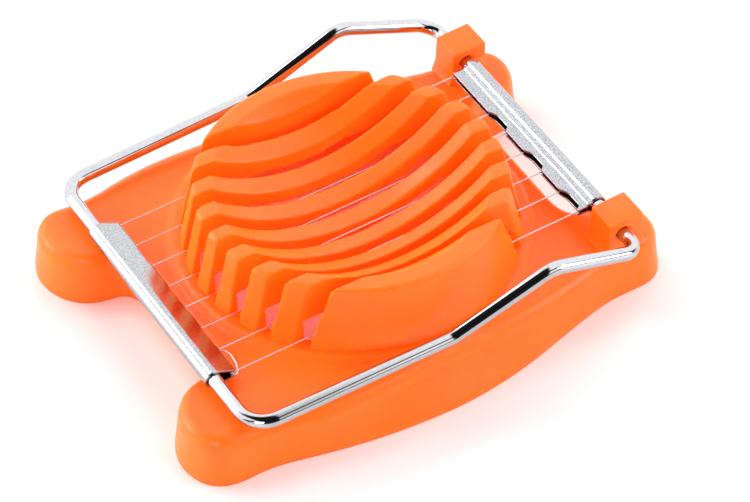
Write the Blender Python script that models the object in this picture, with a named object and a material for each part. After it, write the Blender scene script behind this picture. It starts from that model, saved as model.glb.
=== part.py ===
"""Egg slicer: a moulded base with a slotted cradle, and a hinged frame of wires.

Metres, +Z up.  X runs from the free front bar (-X) to the hinge (+X), Y runs
across the wires, and Z = 0 is the table.  The origin is under the middle of
the object.  The frame lies shut on the base, with its wires in the slots.
"""

import math

import bmesh
import bpy
from mathutils import Vector

MM = 0.001

# ---------------------------------------------------------------- dimensions
# base tray
TRAY_TOP = 10.3 * MM             # height of the flat top over the table
TRAY_WALL = 2.2 * MM             # thickness of the moulding
SHOULDER_DROP = 3.6 * MM         # how far the rounded shoulder reaches down
SIDE_DRAFT = 0.7 * MM            # lean of the plain walls
RAIL_FLARE = 3.4 * MM            # how far the side rails swell out at mid-length
RAIL_HALF_LENGTH = 33.0 * MM
PEDESTAL_R = 33.2 * MM
PEDESTAL_H = 0.9 * MM
OPENING_R = 28.9 * MM

# One half of the footprint, from the middle of the front wall round to the
# middle of the rear wall, as spline stations (x, y) in millimetres.
FOOTPRINT = [
    (-36.6, 4.0), (-36.6, 9.0), (-36.9, 13.2), (-38.6, 15.6), (-41.6, 16.3),
    (-44.6, 17.2), (-47.2, 19.2), (-49.1, 22.2), (-49.9, 25.6), (-49.6, 28.8),
    (-48.2, 31.9), (-45.8, 33.8), (-42.4, 34.5), (-38.6, 34.4), (-34.6, 34.7),
    (-30.0, 35.7), (-24.0, 37.0), (-16.0, 38.3), (-8.0, 39.0), (0.0, 39.1),
    (8.0, 38.3), (16.0, 36.7), (23.0, 34.7), (30.0, 32.7), (36.0, 31.3),
    (41.5, 31.0), (45.6, 30.7), (48.4, 28.9), (49.9, 25.4), (49.4, 21.4),
    (47.3, 18.3), (44.2, 16.8), (40.8, 16.4), (38.2, 15.7), (37.1, 13.6),
    (36.9, 9.5), (36.9, 4.0),
]
FOOTPRINT_STEPS = 2              # spline points per station

# cradle for the egg
CRADLE_X = 0.2 * MM
CRADLE_FOOT_R = 31.3 * MM
CRADLE_TOP_R = 28.7 * MM
CRADLE_TOP = TRAY_TOP + 13.4 * MM
BOWL_RIM_R = 25.0 * MM
BOWL_FLOOR = TRAY_TOP + 3.4 * MM
CRADLE_WALL = 2.2 * MM
CRADLE_CEILING = TRAY_TOP + 5.2 * MM   # flat underside of the ribs, outside the bowl
BOWL_SKIN = 2.8 * MM
CRADLE_EDGE_R = 0.8 * MM
CRADLE_SEGMENTS = 60

PITCH = 6.0 * MM                 # from wire to wire, and from rib to rib
RIB_COUNT = 7
RIB_TOP_W = 3.0 * MM
RIB_FOOT_W = 3.9 * MM
END_FACE_Y = 22.4 * MM           # inner face of each end block, at the top
END_FACE_FOOT_Y = 21.9 * MM
END_WALL = 2.2 * MM

# hinge blocks
BLOCK_Y = 26.5 * MM
BLOCK_TOP = TRAY_TOP + 7.7 * MM
BLOCK_X0 = 36.6 * MM
BLOCK_X1 = 43.6 * MM
BLOCK_HALF_W = 3.0 * MM
BLOCK_DRAFT = 0.5 * MM
BLOCK_CLEARANCE = 0.25 * MM      # round the rod

# frame rod
ROD_R = 1.35 * MM
BAR_X = -40.35 * MM
BAR_Z = TRAY_TOP + 2.5 * MM
HINGE_X = 39.4 * MM
HINGE_Z = TRAY_TOP + 4.5 * MM
BAR_HALF = 34.95 * MM
KINK_LOW = (-0.3 * MM, 35.8 * MM, TRAY_TOP + 4.4 * MM)
KINK_HIGH = (19.5 * MM, 36.6 * MM, TRAY_TOP + 11.8 * MM)
REAR_HALF = 35.2 * MM
FRONT_BEND_R = 5.0 * MM
KINK_BEND_R = 6.0 * MM
REAR_BEND_R = 4.0 * MM
ROD_END_Y = 0.5 * MM             # the two ends meet inside the rear holder

# wire holders, folded sheet round the rod
HOLDER_LENGTH = 42.8 * MM
SHEET = 0.35 * MM
HOLDER_CLEARANCE = 0.1 * MM
MOUTH = 0.9 * MM
FRONT_LIP = 4.25 * MM            # from the rod's axis to the lip
REAR_LIP = 4.1 * MM

# cutting wires
WIRE_COUNT = 8
WIRE_R = 0.13 * MM
WIRE_FRONT_Z = TRAY_TOP + 1.9 * MM
WIRE_REAR_Z = TRAY_TOP + 4.5 * MM
WIRE_HIDDEN = 1.3 * MM           # length of wire inside each holder

GAP = 0.3 * MM                   # between pieces that rest on each other

ORANGE = (1.0, 0.17, 0.015, 1.0)
STEEL = (0.72, 0.73, 0.75, 1.0)
SHEET_STEEL = (0.62, 0.63, 0.65, 1.0)
WIRE_STEEL = (0.80, 0.80, 0.82, 1.0)


# ------------------------------------------------------------------- helpers
def clear_scene():
    for obj in list(bpy.data.objects):
        bpy.data.objects.remove(obj, do_unlink=True)


def material(name, color, roughness, metallic):
    mat = bpy.data.materials.new(name)
    mat.use_nodes = True
    shader = mat.node_tree.nodes["Principled BSDF"]
    shader.inputs["Base Color"].default_value = color
    shader.inputs["Roughness"].default_value = roughness
    shader.inputs["Metallic"].default_value = metallic
    return mat


def link(name, data, mat=None):
    obj = bpy.data.objects.new(name, data)
    bpy.context.scene.collection.objects.link(obj)
    if mat is not None:
        obj.data.materials.append(mat)
    return obj


def mesh_object(name, bm, mat=None):
    bmesh.ops.recalc_face_normals(bm, faces=bm.faces)
    mesh = bpy.data.meshes.new(name)
    bm.to_mesh(mesh)
    bm.free()
    return link(name, mesh, mat)


def as_cutter(obj):
    obj.hide_render = True
    obj.display_type = "WIRE"
    return obj


def add_boolean(obj, operation, cutter):
    mod = obj.modifiers.new(operation.title(), "BOOLEAN")
    mod.operation = operation
    mod.solver = "EXACT"
    mod.object = cutter
    return mod


def smoothstep(low, high, value):
    t = min(1.0, max(0.0, (value - low) / (high - low)))
    return t * t * (3.0 - 2.0 * t)


def loft(rings):
    """A closed solid through stacked rings that have equal point counts."""
    bm = bmesh.new()
    loops = [[bm.verts.new(p) for p in ring] for ring in rings]
    count = len(rings[0])
    for low, high in zip(loops, loops[1:]):
        for i in range(count):
            j = (i + 1) % count
            bm.faces.new((low[i], low[j], high[j], high[i]))
    bm.faces.new(list(reversed(loops[0])))
    bm.faces.new(loops[-1])
    return bm


def prism_along_y(section, y0, y1):
    """A solid whose (x, z) section is carried from y0 to y1."""
    return loft([[(x, y, z) for x, z in section] for y in (y0, y1)])


def disc(radius, z, center_x, segments):
    points = []
    for i in range(segments):
        angle = 2.0 * math.pi * i / segments
        points.append((center_x + radius * math.cos(angle), radius * math.sin(angle), z))
    return points


# ----------------------------------------------------------------- base tray
def spline_through(points, steps):
    """Closed Catmull-Rom spline through the points."""
    out = []
    count = len(points)
    for i in range(count):
        p0, p1, p2, p3 = (Vector(points[(i + k) % count]) for k in (-1, 0, 1, 2))
        for s in range(steps):
            t = s / steps
            out.append(0.5 * (2.0 * p1 + (p2 - p0) * t
                              + (2.0 * p0 - 5.0 * p1 + 4.0 * p2 - p3) * t ** 2
                              + (3.0 * p1 - p0 - 3.0 * p2 + p3) * t ** 3))
    return out


def footprint():
    half = [(x * MM, y * MM) for x, y in FOOTPRINT]
    other = [(x, -y) for x, y in reversed(half)]
    return spline_through(half + other, FOOTPRINT_STEPS)


def inset(points, distances):
    """Each point moved into the outline by its own distance."""
    out = []
    count = len(points)
    for i, point in enumerate(points):
        along = (points[(i + 1) % count] - points[i - 1]).normalized()
        inward = Vector((along.y, -along.x))
        out.append(point + inward * distances[i])
    return out


def wall_lean(point):
    side = smoothstep(28.0 * MM, 32.0 * MM, abs(point.y))
    reach = abs(point.x) / RAIL_HALF_LENGTH
    swell = 0.5 + 0.5 * math.cos(math.pi * min(1.0, reach))
    return SIDE_DRAFT + RAIL_FLARE * swell * side


def shoulder_radius(point):
    end = smoothstep(38.0 * MM, 46.0 * MM, abs(point.x))
    between_feet = 1.0 - smoothstep(14.0 * MM, 22.0 * MM, abs(point.y))
    plain = 3.2 * MM - 1.4 * MM * end
    return plain + (1.2 * MM - plain) * between_feet


def at_height(points, z):
    return [(p.x, p.y, z) for p in points]


def tray_shell():
    outline = footprint()
    lean = [wall_lean(p) for p in outline]
    radius = [shoulder_radius(p) for p in outline]
    rings = [at_height(outline, 0.0)]
    rings.append(at_height(inset(outline, [0.04 * d for d in lean]), 1.2 * MM))
    shoulder = TRAY_TOP - SHOULDER_DROP
    for step in range(4):
        angle = 0.5 * math.pi * step / 3
        depths = [d + r * (1.0 - math.cos(angle)) for d, r in zip(lean, radius)]
        z = shoulder + SHOULDER_DROP * math.sin(angle)
        rings.append(at_height(inset(outline, depths), z))
    return rings, outline, lean, radius


def build_base_tray(mat):
    rings, outline, lean, radius = tray_shell()
    tray = mesh_object("base_tray", loft(rings), mat)

    # the hollow under the moulding
    hollow = []
    ceiling = TRAY_TOP - TRAY_WALL
    for z, share, extra in ((-1.0 * MM, 0.0, 0.0), (1.2 * MM, 0.04, 0.0),
                            (ceiling - 1.6 * MM, 1.0, 0.3 * MM), (ceiling, 1.0, 1.5 * MM)):
        depths = [TRAY_WALL + share * d + extra for d in lean]
        hollow.append(at_height(inset(outline, depths), z))
    hollow = as_cutter(mesh_object("tray_hollow_cutter", loft(hollow)))

    # the low round step that the cradle stands on
    step = loft([
        disc(PEDESTAL_R, TRAY_TOP - 1.5 * MM, CRADLE_X, CRADLE_SEGMENTS),
        disc(PEDESTAL_R, TRAY_TOP + 0.1 * MM, CRADLE_X, CRADLE_SEGMENTS),
        disc(PEDESTAL_R - 0.4 * MM, TRAY_TOP + 0.65 * MM, CRADLE_X, CRADLE_SEGMENTS),
        disc(PEDESTAL_R - 0.9 * MM, TRAY_TOP + PEDESTAL_H, CRADLE_X, CRADLE_SEGMENTS),
    ])
    step = as_cutter(mesh_object("tray_step_cutter", step))

    opening = loft([
        disc(OPENING_R, TRAY_TOP - 8.0 * MM, CRADLE_X, CRADLE_SEGMENTS),
        disc(OPENING_R, TRAY_TOP + 3.0 * MM, CRADLE_X, CRADLE_SEGMENTS),
    ])
    opening = as_cutter(mesh_object("tray_opening_cutter", opening))

    add_boolean(tray, "DIFFERENCE", hollow)
    add_boolean(tray, "UNION", step)
    add_boolean(tray, "DIFFERENCE", opening)
    return tray


# -------------------------------------------------------------------- cradle
def cradle_profile(hollow=True):
    """Half section (r, z) of the round cradle, from the bowl's middle outwards."""
    foot = TRAY_TOP + PEDESTAL_H + GAP
    depth = CRADLE_TOP - BOWL_FLOOR
    sphere_r = (BOWL_RIM_R ** 2 + depth ** 2) / (2.0 * depth)
    center_z = BOWL_FLOOR + sphere_r
    points = []
    steps = 8
    for i in range(steps + 1):
        r = BOWL_RIM_R * i / steps
        points.append((r, center_z - math.sqrt(sphere_r ** 2 - r ** 2)))
    for i in range(4):
        angle = 0.5 * math.pi * i / 3
        points.append((CRADLE_TOP_R - CRADLE_EDGE_R * (1.0 - math.sin(angle)),
                       CRADLE_TOP - CRADLE_EDGE_R * (1.0 - math.cos(angle))))
    points.append((CRADLE_FOOT_R, foot))
    if not hollow:
        points.append((0.0, foot))
        return points
    points.append((CRADLE_FOOT_R - CRADLE_WALL, foot))
    points.append((CRADLE_FOOT_R - CRADLE_WALL, CRADLE_CEILING))
    under_r = sphere_r + BOWL_SKIN
    bowl_edge = math.sqrt(under_r ** 2 - (center_z - CRADLE_CEILING) ** 2)
    for i in range(steps + 1):
        r = bowl_edge * (1.0 - i / steps)
        points.append((r, center_z - math.sqrt(under_r ** 2 - r ** 2)))
    return points


def turned(points, segments=CRADLE_SEGMENTS):
    """A closed solid of revolution about the cradle's axis."""
    bm = bmesh.new()
    rings = []
    for r, z in points:
        if r < 1e-7:
            rings.append([bm.verts.new((CRADLE_X, 0.0, z))])
        else:
            rings.append([bm.verts.new(p) for p in disc(r, z, CRADLE_X, segments)])
    for first, second in zip(rings, rings[1:]):
        for i in range(segments):
            j = (i + 1) % segments
            corners = [first[i % len(first)], first[j % len(first)],
                       second[j % len(second)], second[i % len(second)]]
            unique = list(dict.fromkeys(corners))
            if len(unique) > 2:
                bm.faces.new(unique)
    return bm


def rib_cutter(name, y):
    """A slab, thicker at the foot, that keeps one rib of the cradle."""
    top = CRADLE_TOP + 2.0 * MM
    lean = (RIB_FOOT_W - RIB_TOP_W) / (CRADLE_TOP - TRAY_TOP)
    rings = []
    for z in (TRAY_TOP - 1.0 * MM, top):
        half = 0.5 * (RIB_TOP_W + lean * (CRADLE_TOP - z))
        reach = CRADLE_FOOT_R + 5.0 * MM
        rings.append([(CRADLE_X - reach, y - half, z), (CRADLE_X + reach, y - half, z),
                      (CRADLE_X + reach, y + half, z), (CRADLE_X - reach, y + half, z)])
    return as_cutter(mesh_object(name, loft(rings)))


def end_cutter(name, side, setback):
    """The half space past one end block's inner face, set back by a distance."""
    lean = (END_FACE_Y - END_FACE_FOOT_Y) / (CRADLE_TOP - TRAY_TOP)
    rings = []
    for z in (TRAY_TOP - 1.0 * MM, CRADLE_TOP + 2.0 * MM):
        y_in = END_FACE_Y - lean * (CRADLE_TOP - z) + setback
        y_out = CRADLE_FOOT_R + 5.0 * MM
        reach = CRADLE_FOOT_R + 5.0 * MM
        rings.append([(CRADLE_X - reach, side * y_in, z), (CRADLE_X + reach, side * y_in, z),
                      (CRADLE_X + reach, side * y_out, z), (CRADLE_X - reach, side * y_out, z)])
    return as_cutter(mesh_object(name, loft(rings)))


def build_ribs(mat):
    shell = bpy.data.meshes.new("cradle_shell")
    bm = turned(cradle_profile())
    bmesh.ops.recalc_face_normals(bm, faces=bm.faces)
    bm.to_mesh(shell)
    bm.free()
    shell.materials.append(mat)
    ribs = []
    for i in range(RIB_COUNT):
        y = (i - (RIB_COUNT - 1) / 2) * PITCH
        rib = link(f"cradle_rib_{i + 1}", shell)
        add_boolean(rib, "INTERSECT", rib_cutter(f"rib_cutter_{i + 1}", y))
        ribs.append(rib)
    return ribs


def hollow_profile():
    """The room inside an end block: under the rim, within the outer wall."""
    foot = TRAY_TOP - 1.0 * MM
    lean = (CRADLE_FOOT_R - CRADLE_TOP_R) / (CRADLE_TOP - TRAY_TOP)
    roof = CRADLE_TOP - CRADLE_WALL
    roof_r = CRADLE_TOP_R + lean * CRADLE_WALL - CRADLE_WALL
    foot_r = roof_r + lean * (roof - foot)
    return [(0.0, roof), (roof_r - 1.0 * MM, roof), (roof_r, roof - 1.0 * MM),
            (foot_r, foot), (0.0, foot)]


def build_end_blocks(mat):
    blocks = []
    for side, word in ((-1, "left"), (1, "right")):
        block = mesh_object(f"cradle_end_{word}", turned(cradle_profile(hollow=False)), mat)
        room = as_cutter(mesh_object(f"end_room_cutter_{word}", turned(hollow_profile())))
        inner = end_cutter(f"end_inner_cutter_{word}", side, END_WALL)
        outer = end_cutter(f"end_outer_cutter_{word}", side, 0.0)
        add_boolean(room, "INTERSECT", inner)
        add_boolean(block, "INTERSECT", outer)
        add_boolean(block, "DIFFERENCE", room)
        blocks.append(block)
    return blocks


# -------------------------------------------------------------- hinge blocks
def block_section():
    """Side view (x, z) of a hinge block: a hook that the rod snaps into."""
    foot = TRAY_TOP + GAP
    hole = ROD_R + BLOCK_CLEARANCE
    mouth = hole - 0.35 * MM
    points = [(BLOCK_X0 - BLOCK_DRAFT, foot), (BLOCK_X0, BLOCK_TOP - 0.7 * MM),
              (BLOCK_X0 + 0.7 * MM, BLOCK_TOP), (BLOCK_X1 - 0.7 * MM, BLOCK_TOP),
              (BLOCK_X1, BLOCK_TOP - 0.7 * MM)]
    # the short lip behind the rod, then round the bore to the floor
    points.append((BLOCK_X1, HINGE_Z - 0.1 * MM))
    points.append((HINGE_X + hole * math.cos(math.radians(-10.0)), HINGE_Z - 0.5 * MM))
    for i in range(13):
        angle = math.radians(6.0 + 228.0 * i / 12)
        points.append((HINGE_X + hole * math.cos(angle), HINGE_Z + hole * math.sin(angle)))
    points.append((HINGE_X - 0.4 * mouth, HINGE_Z - hole - 0.2 * MM))
    points.append((HINGE_X + 1.0 * MM, HINGE_Z - hole - 0.9 * MM))
    points.append((BLOCK_X1 + 0.2 * MM, HINGE_Z - hole - 0.9 * MM))
    points.append((BLOCK_X1 + BLOCK_DRAFT, foot))
    return points


def build_hinge_blocks(mat):
    blocks = []
    for side, word in ((-1, "left"), (1, "right")):
        y = side * BLOCK_Y
        bm = prism_along_y(block_section(), y - BLOCK_HALF_W, y + BLOCK_HALF_W)
        blocks.append(mesh_object(f"hinge_block_{word}", bm, mat))
    return blocks


# ------------------------------------------------------------- moving frame
def rounded_path(corners, radii, steps=5):
    """Points along straight runs joined by arcs at the inner corners."""
    out = [Vector(corners[0])]
    for i in range(1, len(corners) - 1):
        before, corner, after = (Vector(corners[k]) for k in (i - 1, i, i + 1))
        to_before = (before - corner).normalized()
        to_after = (after - corner).normalized()
        half = 0.5 * to_before.angle(to_after)
        tangent = radii[i - 1] / math.tan(half)
        center = corner + (to_before + to_after).normalized() * (radii[i - 1] / math.sin(half))
        start = corner + to_before * tangent - center
        end = corner + to_after * tangent - center
        sweep = start.angle(end)
        for s in range(steps + 1):
            t = s / steps
            weight_a = math.sin((1.0 - t) * sweep) / math.sin(sweep)
            weight_b = math.sin(t * sweep) / math.sin(sweep)
            out.append(center + start * weight_a + end * weight_b)
    out.append(Vector(corners[-1]))
    return out


def build_rod(mat, pivot):
    half = [(BAR_X, 0.0, BAR_Z), (BAR_X, BAR_HALF, BAR_Z), KINK_LOW, KINK_HIGH,
            (HINGE_X, REAR_HALF, HINGE_Z), (HINGE_X, ROD_END_Y, HINGE_Z)]
    radii = [FRONT_BEND_R, KINK_BEND_R, KINK_BEND_R, REAR_BEND_R]
    path = rounded_path(half, radii)
    other = [Vector((p.x, -p.y, p.z)) for p in reversed(path[1:])]
    path = other + path[1:]
    curve = bpy.data.curves.new("bail_rod", "CURVE")
    curve.dimensions = "3D"
    curve.bevel_depth = ROD_R
    curve.bevel_resolution = 3
    curve.use_fill_caps = True
    spline = curve.splines.new("POLY")
    spline.points.add(len(path) - 1)
    for point, place in zip(spline.points, path):
        point.co = (*(place - pivot), 1.0)
    rod = link("bail_rod", curve, mat)
    return rod


def tangent_point(radius, target, side):
    """Where a line from the target touches a circle round the origin."""
    distance = target.length
    angle = math.atan2(target.y, target.x) + side * math.acos(radius / distance)
    return angle


def holder_section(lip, lip_z):
    """Folded sheet round the rod (u towards the lip, w up), as one closed outline."""
    inner = ROD_R + HOLDER_CLEARANCE
    outer = inner + SHEET
    outline = []
    for radius, half in ((outer, 0.5 * MOUTH + SHEET), (inner, 0.5 * MOUTH)):
        top = Vector((lip, lip_z + half))
        low = Vector((lip, lip_z - half))
        start = tangent_point(radius, top, 1.0)
        end = tangent_point(radius, low, -1.0) + 2.0 * math.pi
        run = [top]
        for i in range(19):
            angle = start + (end - start) * i / 18
            run.append(Vector((radius * math.cos(angle), radius * math.sin(angle))))
        run.append(low)
        outline.append(run)
    return outline[0] + list(reversed(outline[1]))


def build_holder(name, mat, pivot, axis_x, axis_z, toward, lip, lip_z):
    section = [(axis_x + toward * p.x - pivot.x, axis_z + p.y - pivot.z)
               for p in holder_section(lip, lip_z)]
    bm = prism_along_y(section, -0.5 * HOLDER_LENGTH, 0.5 * HOLDER_LENGTH)
    return mesh_object(name, bm, mat)


def build_wires(mat, pivot):
    front = BAR_X + FRONT_LIP
    rear = HINGE_X - REAR_LIP
    slope = (WIRE_REAR_Z - WIRE_FRONT_Z) / (rear - front)
    start = Vector((front - WIRE_HIDDEN, 0.0, WIRE_FRONT_Z - slope * WIRE_HIDDEN))
    end = Vector((rear + WIRE_HIDDEN, 0.0, WIRE_REAR_Z + slope * WIRE_HIDDEN))
    wires = []
    for i in range(WIRE_COUNT):
        y = (i - (WIRE_COUNT - 1) / 2) * PITCH
        rings = []
        for place in (start, end):
            ring = []
            for k in range(8):
                angle = 2.0 * math.pi * (k + 0.5) / 8
                ring.append((place.x - pivot.x, y + WIRE_R * math.cos(angle),
                             place.z - pivot.z + WIRE_R * math.sin(angle)))
            rings.append(ring)
        wires.append(mesh_object(f"cutting_wire_{i + 1}", loft(rings), mat))
    return wires


def build_frame():
    pivot = Vector((HINGE_X, 0.0, HINGE_Z))
    hinge = bpy.data.objects.new("frame_hinge_axis", None)
    hinge.location = pivot
    bpy.context.scene.collection.objects.link(hinge)
    steel = material("polished_steel_rod", STEEL, 0.12, 1.0)
    sheet = material("pressed_steel_holder", SHEET_STEEL, 0.22, 1.0)
    wire = material("stainless_wire", WIRE_STEEL, 0.2, 1.0)
    pieces = [build_rod(steel, pivot)]
    pieces.append(build_holder("front_wire_holder", sheet, pivot, BAR_X, BAR_Z, 1.0,
                               FRONT_LIP, WIRE_FRONT_Z - BAR_Z))
    pieces.append(build_holder("rear_wire_holder", sheet.copy(), pivot, HINGE_X, HINGE_Z, -1.0,
                               REAR_LIP, WIRE_REAR_Z - HINGE_Z))
    pieces.extend(build_wires(wire, pivot))
    for piece in pieces:
        piece.parent = hinge


def shade_round(obj):
    if obj.type == "MESH":
        obj.data.shade_smooth()
        obj.data.set_sharp_from_angle(angle=math.radians(35.0))


def main():
    clear_scene()
    build_base_tray(material("tray_plastic", ORANGE, 0.3, 0.0))
    build_ribs(material("rib_plastic", ORANGE, 0.3, 0.0))
    build_end_blocks(material("end_block_plastic", ORANGE, 0.3, 0.0))
    build_hinge_blocks(material("hinge_block_plastic", ORANGE, 0.3, 0.0))
    build_frame()
    for obj in bpy.data.objects:
        shade_round(obj)


main()
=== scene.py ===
# %% [markdown]
# # An egg slicer
#
# The object is a one-piece plastic base with a slotted egg cradle, and a bent
# steel rod that carries eight cutting wires between two folded sheet holders.
# The rod is hinged in two hooks at the back of the base.  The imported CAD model
# is loaded first, because it says where everything sits; each cell below then
# models one piece by hand and lays it over its CAD node.

import math

import bmesh
import bpy
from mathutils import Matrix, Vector


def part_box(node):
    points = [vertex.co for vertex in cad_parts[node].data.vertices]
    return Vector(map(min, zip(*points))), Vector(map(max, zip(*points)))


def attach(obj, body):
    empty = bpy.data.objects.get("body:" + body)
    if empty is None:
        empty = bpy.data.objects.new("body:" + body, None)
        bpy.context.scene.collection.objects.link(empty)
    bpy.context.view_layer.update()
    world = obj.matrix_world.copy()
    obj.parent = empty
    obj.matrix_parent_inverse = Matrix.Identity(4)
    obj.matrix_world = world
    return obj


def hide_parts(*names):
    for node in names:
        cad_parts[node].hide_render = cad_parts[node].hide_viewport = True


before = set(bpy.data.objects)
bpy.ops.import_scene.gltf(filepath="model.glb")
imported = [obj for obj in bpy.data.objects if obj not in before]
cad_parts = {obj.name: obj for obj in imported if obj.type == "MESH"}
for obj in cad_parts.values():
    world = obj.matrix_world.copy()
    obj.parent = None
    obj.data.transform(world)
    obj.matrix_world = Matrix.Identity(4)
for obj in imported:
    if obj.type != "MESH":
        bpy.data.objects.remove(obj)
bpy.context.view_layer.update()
MM = 0.001
tray_low, tray_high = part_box("base_tray")

# %% [markdown]
# ## Working habits
#
# Blender's operators act on whatever is selected.  By hand one would click on
# a face; a script has to say the same thing in words, such as "all the faces
# that look up".  These few helpers do that clicking, so that the modelling
# below reads as a list of moves.


# %% Select, enter edit mode, pick and apply
def select_only(*objects):
    if bpy.context.object and bpy.context.object.mode != "OBJECT":
        bpy.ops.object.mode_set(mode="OBJECT")
    bpy.ops.object.select_all(action="DESELECT")
    for obj in objects:
        obj.select_set(True)
    bpy.context.view_layer.objects.active = objects[0]
    return objects[0]


def start_edit(obj, kind="FACE"):
    select_only(obj)
    bpy.ops.object.mode_set(mode="EDIT")
    bpy.ops.mesh.select_mode(type=kind)


def end_edit():
    bpy.ops.object.mode_set(mode="OBJECT")


def pick(obj, wanted, kind="FACE"):
    """Select the faces, edges or vertices whose place (and normal) is wanted."""
    bpy.ops.mesh.select_mode(type=kind)
    bpy.ops.mesh.select_all(action="DESELECT")
    mesh = bmesh.from_edit_mesh(obj.data)
    if kind == "FACE":
        chosen = [f for f in mesh.faces if wanted(f.calc_center_median(), f.normal)]
    elif kind == "EDGE":
        chosen = [e for e in mesh.edges if wanted(e.verts[0].co, e.verts[1].co)]
    else:
        chosen = [v for v in mesh.verts if wanted(v.co)]
    for part in chosen:
        part.select_set(True)
    mesh.select_flush_mode()
    bmesh.update_edit_mesh(obj.data)
    return len(chosen)


def finish_with(obj, kind, **settings):
    """Add one modifier, set it and apply it."""
    select_only(obj)
    modifier = obj.modifiers.new(kind.title(), kind)
    for name, value in settings.items():
        setattr(modifier, name, value)
    bpy.ops.object.modifier_apply(modifier=modifier.name)


def tidy_shell(obj):
    """Merge doubles and turn every face outwards."""
    start_edit(obj)
    bpy.ops.mesh.select_all(action="SELECT")
    bpy.ops.mesh.remove_doubles(threshold=1e-6)
    bpy.ops.mesh.normals_make_consistent(inside=False)
    end_edit()


def join(*objects):
    whole = select_only(*objects)
    bpy.ops.object.join()
    return whole


def cut_with(obj, cutter, operation="DIFFERENCE"):
    finish_with(obj, "BOOLEAN", operation=operation, solver="EXACT", object=cutter)


def throw_away(*objects):
    select_only(*objects)
    bpy.ops.object.delete()


def count(obj):
    tris = sum(len(p.vertices) - 2 for p in obj.data.polygons)
    size = [round(v / MM, 1) for v in obj.dimensions]
    print(f"{obj.name}: {tris} triangles, {size} mm")


# %% [markdown]
# ## Drawing a line
#
# Many pieces of this object start as a drawn line: the outline of the base,
# the half profile of the cradle, the rod and the wire.  A curve with smooth
# handles passes through every point it is given, like a bent spline on a
# drawing board.  Converted to a mesh, it becomes a chain of edges that edit
# mode can extrude or spin.


# %% A curve through points, turned into edges or a tube
def draw(name, points, closed=False, smooth=0, radius=0.0, sides=0):
    curve = bpy.data.curves.new(name, "CURVE")
    curve.dimensions = "3D"
    curve.resolution_u = max(1, smooth)
    curve.bevel_depth = radius
    curve.bevel_resolution = sides
    curve.use_fill_caps = radius > 0
    spline = curve.splines.new("BEZIER" if smooth else "POLY")
    places = spline.bezier_points if smooth else spline.points
    places.add(len(points) - 1)
    for place, point in zip(places, points):
        if smooth:
            place.co = point
            place.handle_left_type = place.handle_right_type = "AUTO"
        else:
            place.co = (*point, 1.0)
    spline.use_cyclic_u = closed
    obj = bpy.data.objects.new(name, curve)
    bpy.context.scene.collection.objects.link(obj)
    select_only(obj)
    bpy.ops.object.convert(target="MESH")
    return bpy.context.object


# %% [markdown]
# ## The base: outline
#
# Seen from above, the base has four round feet, long side rails that swell out
# gently, a finger bay in the front and a shallow bay at the back.  Both sides
# are alike, so only half of the outline is listed, as stations in millimetres
# from the middle of the front wall round to the middle of the back wall.

# %% Stations of the outline
BASE_HALF = [
    (-36.6, 4.0), (-36.6, 9.0), (-36.9, 13.2), (-38.6, 15.6), (-41.6, 16.3),
    (-44.6, 17.2), (-47.2, 19.2), (-49.1, 22.2), (-49.9, 25.6), (-49.6, 28.8),
    (-48.2, 31.9), (-45.8, 33.8), (-42.4, 34.5), (-38.6, 34.4), (-34.6, 34.7),
    (-30.0, 35.7), (-24.0, 37.0), (-16.0, 38.3), (-8.0, 39.0), (0.0, 39.1),
    (8.0, 38.3), (16.0, 36.7), (23.0, 34.7), (30.0, 32.7), (36.0, 31.3),
    (41.5, 31.0), (45.6, 30.7), (48.4, 28.9), (49.9, 25.4), (49.4, 21.4),
    (47.3, 18.3), (44.2, 16.8), (40.8, 16.4), (38.2, 15.7), (37.1, 13.6),
    (36.9, 9.5), (36.9, 4.0),
]
TRAY_TOP = tray_high.z - 0.9 * MM       # the round step stands 0.9 mm proud
BELOW = -1.5 * MM                        # spare length, cut off level later
stations = [(x * MM, y * MM, BELOW) for x, y in BASE_HALF]
stations += [(x, -y, z) for x, y, z in reversed(stations)]
tray = draw("tray", stations, closed=True, smooth=3)
print(len(tray.data.vertices), "points in the outline")
print("top of the tray at", round(TRAY_TOP / MM, 2), "mm")

# %% [markdown]
# ## The base: walls and rounded shoulder
#
# A moulded wall is never upright: it leans in so that the part leaves its
# mould, and here the side rails also flare out towards the table.  The outline
# is extruded upwards ring by ring.  Each ring is moved in by its own distance
# at every station, first for the lean, then along a quarter circle for the
# shoulder.  A plain bevel couldn't do this, because the shoulder is wide over
# the rails and tight in the two bays.


# %% How far the wall leans, and how round its shoulder is
def smoothstep(low, high, value):
    t = min(1.0, max(0.0, (value - low) / (high - low)))
    return t * t * (3.0 - 2.0 * t)


SIDE_DRAFT, RAIL_FLARE, RAIL_HALF_LENGTH = 0.7 * MM, 3.4 * MM, 33.0 * MM
RAIL_INNER_Y, RAIL_OUTER_Y = 28.0 * MM, 32.0 * MM
SHOULDER_MIDDLE, SHOULDER_LESS_AT_ENDS, SHOULDER_IN_BAY = 3.2 * MM, 1.4 * MM, 1.2 * MM
ENDS_FROM_X, ENDS_TO_X = 38.0 * MM, 46.0 * MM
BAY_FROM_Y, BAY_TO_Y = 14.0 * MM, 22.0 * MM


def wall_lean(p):
    on_side = smoothstep(RAIL_INNER_Y, RAIL_OUTER_Y, abs(p.y))
    swell = 0.5 + 0.5 * math.cos(math.pi * min(1.0, abs(p.x) / RAIL_HALF_LENGTH))
    return SIDE_DRAFT + RAIL_FLARE * swell * on_side


def shoulder_radius(p):
    at_end = smoothstep(ENDS_FROM_X, ENDS_TO_X, abs(p.x))
    plain = SHOULDER_MIDDLE - SHOULDER_LESS_AT_ENDS * at_end
    in_bay = 1.0 - smoothstep(BAY_FROM_Y, BAY_TO_Y, abs(p.y))
    return plain + (SHOULDER_IN_BAY - plain) * in_bay


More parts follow.
